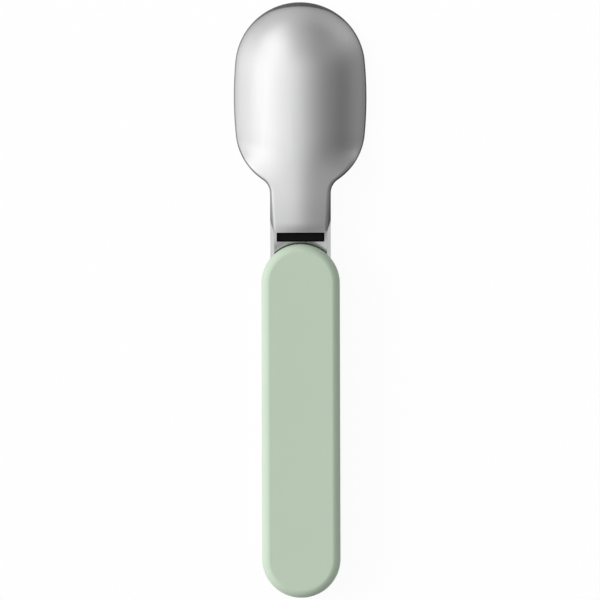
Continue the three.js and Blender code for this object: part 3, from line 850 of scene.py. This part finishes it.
# %% Hinge ears
EAR_RADIUS = 2.3
BORE_RADIUS = PIN_RADIUS + 0.1
EAR_INSET = 0.02
EAR_LOWER, EAR_UPPER = -71.5, 122.5
LOBE_FRONT, LOBE_TOP = 3.0, 2.0
RING_STEPS = 120
TINY = 1e-6
HEAD_EASE, HEAD_EASE_DEGREES = 0.16, 42


def bored_plate(angles, radii, x_from, x_to):
    """A plate across x round the pin: outline and bore radius at each angle, joined at both faces."""
    bore = np.full_like(radii, BORE_RADIUS)
    ring = np.stack([radii, radii, bore, bore], axis=1)
    x = np.broadcast_to([x_from, x_to, x_to, x_from], ring.shape)
    y = PIN_Y + ring * np.cos(angles)[:, None]
    z = PIN_Z + ring * np.sin(angles)[:, None]
    return np.stack([x, y, z], axis=-1).reshape(-1, 3), grid_faces(len(angles), 4, True, True)


def lobe_radii(angles):
    """The nearest of four straight sides, distance / cos(angle − its direction), or the round rear."""
    turns = angles[:, None] - np.radians([EAR_LOWER, EAR_UPPER, 0, 90])
    reach = np.array([EAR_RADIUS, EAR_RADIUS, LOBE_FRONT, LOBE_TOP]) / np.maximum(np.cos(turns), TINY)
    behind = np.mod(np.degrees(angles) - EAR_UPPER, 360) < EAR_LOWER - EAR_UPPER + 360
    return np.where(behind, EAR_RADIUS, reach.min(axis=1))


ring_angles = np.linspace(0, 2 * np.pi, RING_STEPS, endpoint=False)
ear_sides = NECK_HALF - SHEET + EAR_INSET, NECK_HALF - EAR_INSET
ear = bored_plate(ring_angles, lobe_radii(ring_angles), *ear_sides)
left_ear = (ear[0] * (-1, 1, 1), ear[1][:, ::-1])
head = new_piece(
    "pressed_steel_head",
    *joined(sheet, ear, left_ear),
    polished_steel,
    "head",
    "polished_steel",
    "spoon_head",
)
ease_corners(head, HEAD_EASE, HEAD_EASE_DEGREES)

# %% [markdown]
# ## Black insert
# A nylon block fills the channel between the ears. Its rear end is the cam that the leaf spring
# presses on, its front end is a thin nose, and a lug rises into the slot of the plate. Its side view
# is again a radius for each angle round the pin, this time with the corners listed. It could be a
# filled outline pulled out across the spoon, but a ring has the bore for the pin from the start.

# %% Side view of the insert
insert_high = place("hinge_insert")[1]
INSERT_HALF = insert_high[0]
INSERT_TOP = PLATE_UNDER - 0.1
NOSE_DEPTH = 0.8
INSERT_NOSE = (insert_high[1], INSERT_TOP - NOSE_DEPTH)
CAM_RADIUS, CAM_FLAT = 2.5, 2.2
CAM_FROM, CAM_TO, CAM_STEPS = 118.4, 241.6, 25
CAM_LEAD = 0.3
CORNER_GAP = 0.06
PARALLEL = 1e-9


def outline_radii(corners, angles):
    """Radius at each angle of a closed outline of straight sides, by crossing a ray with each side."""
    start = np.asarray(corners) - (PIN_Y, PIN_Z)
    step = np.roll(start, -1, axis=0) - start
    ray = np.stack([np.cos(angles), np.sin(angles)], axis=1)[:, None]
    cross = ray[..., 0] * step[:, 1] - ray[..., 1] * step[:, 0]
    safe = np.where(np.abs(cross) < PARALLEL, np.nan, cross)
    reach = (start[:, 0] * step[:, 1] - start[:, 1] * step[:, 0]) / safe
    share = (start[:, 0] * ray[..., 1] - start[:, 1] * ray[..., 0]) / safe
    hit = (reach > 0) & (share > -TINY) & (share < 1 + TINY)
    return np.where(hit, reach, np.inf).min(axis=1)


def insert_body():
    """Nose, top, cam and belly of the insert, seen from the side and carried across x."""
    cam = np.radians(np.linspace(CAM_FROM, CAM_TO, CAM_STEPS))
    cam_points = np.stack([PIN_Y + CAM_RADIUS * np.cos(cam), PIN_Z + CAM_RADIUS * np.sin(cam)], axis=1)
    belly_y = PIN_Y + np.sqrt(CAM_RADIUS**2 - CAM_FLAT**2)
    corners = np.concatenate(
        [
            [INSERT_NOSE, (INSERT_NOSE[0], INSERT_TOP), (PLATE_END, INSERT_TOP)],
            [(PLATE_END - CAM_LEAD, PIN_Z + CAM_FLAT)],
            cam_points,
            [(belly_y, PIN_Z - CAM_FLAT)],
        ]
    )
    at_corners = np.mod(np.arctan2(corners[:, 1] - PIN_Z, corners[:, 0] - PIN_Y), 2 * np.pi)
    clear = np.abs(ring_angles[:, None] - at_corners).min(axis=1) > CORNER_GAP
    angles = np.sort(np.concatenate([at_corners, ring_angles[clear]]))
    return bored_plate(angles, outline_radii(corners, angles), -INSERT_HALF, INSERT_HALF)


body = insert_body()
print(f"insert {body[0][:, 1].min():.2f} to {body[0][:, 1].max():.2f} mm along y")

# %% Lug, and the whole insert
LUG_GAP = 0.3
LUG_TOP = PLATE_TOP - 0.4
INSERT_EASE = 0.1


def block(low, high):
    """A box between two corners, as four points round each end of x."""
    (x0, y0, z0), (x1, y1, z1) = low, high
    ring = np.array([(y0, z0), (y1, z0), (y1, z1), (y0, z1)])
    ends = np.array([x0, x0, x1, x1])
    middle = ring.mean(axis=0)
    rings = np.stack([np.tile(middle, (4, 1)), ring, ring, np.tile(middle, (4, 1))])
    points = np.concatenate([np.repeat(ends, 4)[:, None], rings.reshape(-1, 2)], axis=1)
    return points, grid_faces(4, 4, around_columns=True)


# The lug's near-black top fills the slot in the plate. Its colour is partly painted shade for that slot.
lug = block(
    (-SLOT_HALF + LUG_GAP, SLOT_REAR + LUG_GAP, INSERT_NOSE[1]),
    (SLOT_HALF - LUG_GAP, SLOT_FRONT - LUG_GAP, LUG_TOP),
)
insert = new_piece(
    "nylon_insert",
    *joined(body, lug),
    black_nylon,
    "head",
    "black_nylon",
    "hinge_insert",
)
ease_corners(insert, INSERT_EASE)

# %% [markdown]
# ## Handle shells
# The handle is two mouldings, one over the other, with a fine seam between. From above it is a slot
# shape with two full round ends. Each shell is a section carried round that path: flat face, rounded
# edge, straight side, and a tiny round at the seam. Hollows and holes are then cut out with the same
# kind of shape. A cube with a Bevel modifier comes close, but a profile gives the edge its exact
# curve, and here that curve carries the light.

# %% Slot-shaped paths and slabs
# Points on a half turn, then sides of a bar. A half turn of 96 points has 95 spaces. The numbers of
# spaces and sides share no divisor, which keeps the corners of one cut off the lines of another.
ROUND_STEPS, TUB_STEPS, LIP_STEPS, ROOM_STEPS = 96, 80, 84, 78
POST_STEPS, HOLE_STEPS = 64, 61
REAR_ROUND_Y = HANDLE_END + HANDLE_HALF
FRONT_ROUND_Y = HANDLE_TIP - HANDLE_HALF


def slot_path(front_y, rear_y, steps, square):
    """Rays and centres round a slot shape: half a turn or a square end in front, half a turn behind."""
    turn = np.radians(np.linspace(0, 180, steps))
    half_turn = np.stack([np.cos(turn), np.sin(turn)], axis=1)
    front = np.array([(1, 0), (0, 0), (-1, 0)]) if square else half_turn
    centre_y = np.repeat([front_y, rear_y], [len(front), steps])
    return np.concatenate([front, -half_turn]), centre_y


def slab(profile, front_y=FRONT_ROUND_Y, rear_y=REAR_ROUND_Y, steps=ROUND_STEPS, square=False):
    """A (radius, z) profile carried round a slot path. It starts and ends on the middle line."""
    rays, centre_y = slot_path(front_y, rear_y, steps, square)
    radius, z = np.asarray(profile, float).T
    x = rays[:, :1] * radius
    y = rays[:, 1:] * radius + centre_y[:, None]
    points = np.stack([x, y, np.broadcast_to(z, x.shape)], axis=-1)
    return points.reshape(-1, 3), grid_faces(len(rays), len(radius), around_rows=True)


def quarter(radius_at, z_at, radius, start, stop, count=14):
    """Points of a quarter round in a profile, about (radius_at, z_at), between two angles in degrees."""
    turn = np.radians(np.linspace(start, stop, count))
    return np.stack([radius_at + radius * np.cos(turn), z_at + radius * np.sin(turn)], axis=1)


handle_path = slot_path(FRONT_ROUND_Y, REAR_ROUND_Y, ROUND_STEPS, False)[0]
print("handle path:", len(handle_path), "stations")


# %% Cutting and joining
def carve(piece, points, faces, operation="DIFFERENCE"):
    """Cuts a shape out of a piece, or joins it on, and keeps the result as the piece's mesh."""
    tool = bpy.data.objects.new("tool", welded_mesh("tool", points, faces))
    bpy.context.scene.collection.objects.link(tool)
    cut = piece.modifiers.new("cut", "BOOLEAN")
    cut.operation = operation
    cut.solver = "MANIFOLD"
    cut.object = tool
    settled = piece.evaluated_get(bpy.context.evaluated_depsgraph_get())
    mesh = bpy.data.meshes.new_from_object(settled)
    piece.modifiers.clear()
    piece.data = mesh
    bpy.data.objects.remove(tool)
    smooth_but_sharp(mesh)


def in_triangles(piece):
    """Splits a carved piece's many-sided faces into well-shaped triangles."""
    work = bmesh.new()
    work.from_mesh(piece.data)
    bmesh.ops.triangulate(work, faces=[face for face in work.faces if len(face.verts) > 4])
    work.to_mesh(piece.data)
    work.free()
    print(f"{piece.name}: {len(piece.data.polygons)} faces after carving")


def turned(profile, y, steps):
    """A (radius, z) profile turned about the upright line through the middle of the spoon at y."""
    turn = np.linspace(0, 2 * np.pi, steps, endpoint=False)[:, None]
    radius, z = np.asarray(profile, float).T
    ring = (radius * np.cos(turn), y + radius * np.sin(turn), np.broadcast_to(z, (steps, len(z))))
    return np.stack(ring, axis=-1).reshape(-1, 3), grid_faces(steps, len(radius), around_rows=True)


def post(radius, y, low, high):
    """A plain round bar, standing up."""
    return turned([(0, low), (radius, low), (radius, high), (0, high)], y, POST_STEPS)


print("posts have", POST_STEPS, "sides and holes", HOLE_STEPS)

# %% [markdown]
# The lower shell: a shallow tub behind the hinge, with the pocket that the folded neck needs cut right
# through it at the front, two screw posts, and countersunk holes in the flat underside. The pocket
# crosses floor and wall, which no single profile can give, so Blender's Boolean modifier cuts it.

# %% Outside of the lower shell
BASE_ROUND, EDGE_ROUND = 1.6, 0.15
EDGE_STEPS = 4
SEAM_LOW = place("handle_base")[1][2]
# A point this close to a round keeps the flat face beside it flat to the eye.
HOLD = 0.05

base_profile = np.concatenate(
    [
        [(0, 0), (HANDLE_HALF - BASE_ROUND - HOLD, 0)],
        quarter(HANDLE_HALF - BASE_ROUND, BASE_ROUND, BASE_ROUND, -90, 0),
        quarter(HANDLE_HALF - EDGE_ROUND, SEAM_LOW - EDGE_ROUND, EDGE_ROUND, 0, 90, EDGE_STEPS),
        [(0, SEAM_LOW)],
    ]
)
base = new_piece(
    "lower_shell", *slab(base_profile), green_plastic, "handle", "green_plastic", "handle_base"
)

# %% Inside of the lower shell
WALL = 1.8
POCKET_HALF, POCKET_REAR = 9.15, -8.5
TUB_FRONT = POCKET_REAR - 1.6
POST_WALL = 1.4
SCREW_HEAD, SCREW_SHANK = 2.0, 0.85
SCREW_FACE, SCREW_END = (corner[2] for corner in place("cover_screw_front"))
SCREW_GAP, SCREW_LAND, SCREW_ROOM = 0.15, 0.2, 0.3
SCREW_NAMES = ("cover_screw_front", "cover_screw_rear")
SCREW_SPOTS = {name: np.mean(place(name), axis=0)[1] for name in SCREW_NAMES}
# A cut runs this far past the face that it opens.
PAST = 1


def tub(inset, low, high, front, steps):
    """The space inside the handle's path, inset from its side, and square at the front."""
    radius = HANDLE_HALF - inset
    return slab([(0, low), (radius, low), (radius, high), (0, high)], front, steps=steps, square=True)


def pocket(low, high, front=HANDLE_TIP + WALL):
    """The hinge pocket: a block that is open at the handle's tip, or ends before it."""
    return block((-POCKET_HALF, POCKET_REAR, low), (POCKET_HALF, front, high))


def screw_hole():
    """Countersunk hole for a cover screw, as a (radius, z) profile."""
    wide, narrow = SCREW_HEAD + SCREW_GAP, SCREW_SHANK + SCREW_GAP
    land, end = SCREW_FACE + SCREW_LAND + SCREW_GAP, SCREW_END + SCREW_ROOM
    cone = land + wide - narrow
    return [(0, -PAST), (wide, -PAST), (wide, land), (narrow, cone), (narrow, end), (0, end)]


carve(base, *tub(WALL, WALL, SEAM_LOW + PAST, TUB_FRONT, TUB_STEPS))
for spot in SCREW_SPOTS.values():
    carve(base, *post(SCREW_HEAD + POST_WALL, spot, WALL / 2, SEAM_LOW), "UNION")
    carve(base, *turned(screw_hole(), spot, HOLE_STEPS))
carve(base, *pocket(-PAST, SEAM_LOW + PAST))
in_triangles(base)

# %% [markdown]
# The upper shell: the face that the photograph shows. All along its edge runs a soft bevel, fuller than
# a chamfer and flatter than a round, which a curve |u|ᵖ + |v|ᵖ = 1 with p below two gives. Its front
# end stays as a visor over the steel plate and stops the head when it opens. Inside, it has a lip
# behind the seam and posts for the screws.

# %% Outside of the upper shell
TOP_ROUND, TOP_DROP, TOP_POWER = 2.35, 2.6, 1.8
SEAM_HIGH = SEAM_LOW + 0.2


def soft_bevel(radius_at, z_at, wide, deep, power, count=26):
    """Points of |u|ᵖ + |v|ᵖ = 1 from the side up to the face: u = cos^(2/p), v = sin^(2/p)."""
    turn = np.radians(np.linspace(0, 90, count))
    u = np.clip(np.cos(turn), 0, 1) ** (2 / power)
    v = np.sin(turn) ** (2 / power)
    return np.stack([radius_at + wide * u, z_at + deep * v], axis=1)


cover_profile = np.concatenate(
    [
        [(0, SEAM_HIGH)],
        quarter(HANDLE_HALF - EDGE_ROUND, SEAM_HIGH + EDGE_ROUND, EDGE_ROUND, -90, 0, EDGE_STEPS),
        soft_bevel(HANDLE_HALF - TOP_ROUND, HANDLE_TOP - TOP_DROP, TOP_ROUND, TOP_DROP, TOP_POWER),
        [(HANDLE_HALF - TOP_ROUND - HOLD, HANDLE_TOP), (0, HANDLE_TOP)],
    ]
)
cover = new_piece(
    "upper_shell", *slab(cover_profile), green_plastic, "handle", "green_plastic", "handle_cover"
)

# %% Inside of the upper shell
CEILING = 6.9
VISOR_LOW, VISOR_REAR = 5.7, 9.7
LIP_GAP, LIP, LIP_DEPTH = 0.15, 0.8, 1.0
LIP_LOW = SEAM_LOW - LIP_DEPTH
POST_SINK = 0.2

carve(cover, *tub(WALL + LIP_GAP, LIP_LOW, CEILING, TUB_FRONT - LIP_GAP, LIP_STEPS), "UNION")
carve(cover, *tub(WALL + LIP_GAP + LIP, 0, CEILING, POCKET_REAR + PAST, ROOM_STEPS))
carve(cover, *pocket(0, VISOR_LOW))
carve(cover, *pocket(0, CEILING, VISOR_REAR))
for spot in SCREW_SPOTS.values():
    carve(cover, *post(SCREW_SHANK + POST_WALL, spot, SEAM_HIGH, CEILING + POST_SINK), "UNION")
    carve(cover, *turned(screw_hole(), spot, HOLE_STEPS))
in_triangles(cover)

# %% [markdown]
# ## Small steel parts
# The two cover screws show on the underside. A screw is a turned profile, and its cross recess is a
# depth that depends on place: deep along two crossing arms, none outside them. The recess could be
# cut as well, but a depth gives it sloped walls with no cut to mend.

# %% Cover screws
ARM_HALF, ARM_REACH, RECESS_DEPTH, RECESS_WALL = 0.32, 1.25, 0.8, 0.18
HEAD_CHAMFER = 0.12
POINT_LENGTH, POINT_RADIUS = 0.5, 0.25
FACE_STEPS, SCREW_STEPS = 40, 144
FACE_BAND = 0.01


def recess(x, y):
    """Depth of the cross: full inside the arms, half at their edge, none past a sloped wall."""
    along_x = np.minimum(ARM_HALF - np.abs(y), ARM_REACH - np.abs(x))
    along_y = np.minimum(ARM_HALF - np.abs(x), ARM_REACH - np.abs(y))
    inside = np.maximum(along_x, along_y) / RECESS_WALL
    return RECESS_DEPTH * np.clip(inside + 0.5, 0, 1)


def cross_screw(spot):
    """A countersunk screw, head down: the face with its cross, then land, cone, shank and point."""
    face = [(radius, SCREW_FACE) for radius in np.linspace(0, SCREW_HEAD - HEAD_CHAMFER, FACE_STEPS)]
    cone = SCREW_FACE + SCREW_LAND + SCREW_HEAD - SCREW_SHANK
    rest = [(SCREW_HEAD, SCREW_FACE + HEAD_CHAMFER), (SCREW_HEAD, SCREW_FACE + SCREW_LAND)]
    rest += [(SCREW_SHANK, cone), (SCREW_SHANK, SCREW_END - POINT_LENGTH)]
    rest += [(POINT_RADIUS, SCREW_END), (0, SCREW_END)]
    points, faces = turned(face + rest, 0, SCREW_STEPS)
    on_face = points[:, 2] < SCREW_FACE + FACE_BAND
    points[:, 2] += on_face * recess(points[:, 0], points[:, 1])
    return points + (0, spot, 0), faces


for name, spot in SCREW_SPOTS.items():
    new_piece("cross_" + name, *cross_screw(spot), plain_steel, "handle", "plain_steel", name)

# %% [markdown]
# The pin is a turned bar across the hinge with a small chamfer at each end. The leaf spring and its
# screw are hidden in the handle and right as they are packed, so they only take the plain steel finish.

# %% Pin, leaf spring and its screw
PIN_CHAMFER = 0.25


def pin_bar():
    """A (radius, x) profile turned about the fold axis."""
    half = pin_high[0]
    profile = [(0, -half), (PIN_RADIUS - PIN_CHAMFER, -half), (PIN_RADIUS, PIN_CHAMFER - half)]
    profile += [(PIN_RADIUS, half - PIN_CHAMFER), (PIN_RADIUS - PIN_CHAMFER, half), (0, half)]
    points, faces = turned(profile, 0, POST_STEPS)
    return points[:, [2, 0, 1]] + (0, PIN_Y, PIN_Z), faces


new_piece("hinge_pin", *pin_bar(), plain_steel, "handle", "plain_steel", "pivot_pin")
for node in ("detent_spring", "spring_screw"):
    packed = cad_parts[node]
    packed.data.materials.clear()
    packed.data.materials.append(plain_steel)
print("plain steel on pin, leaf and screws")
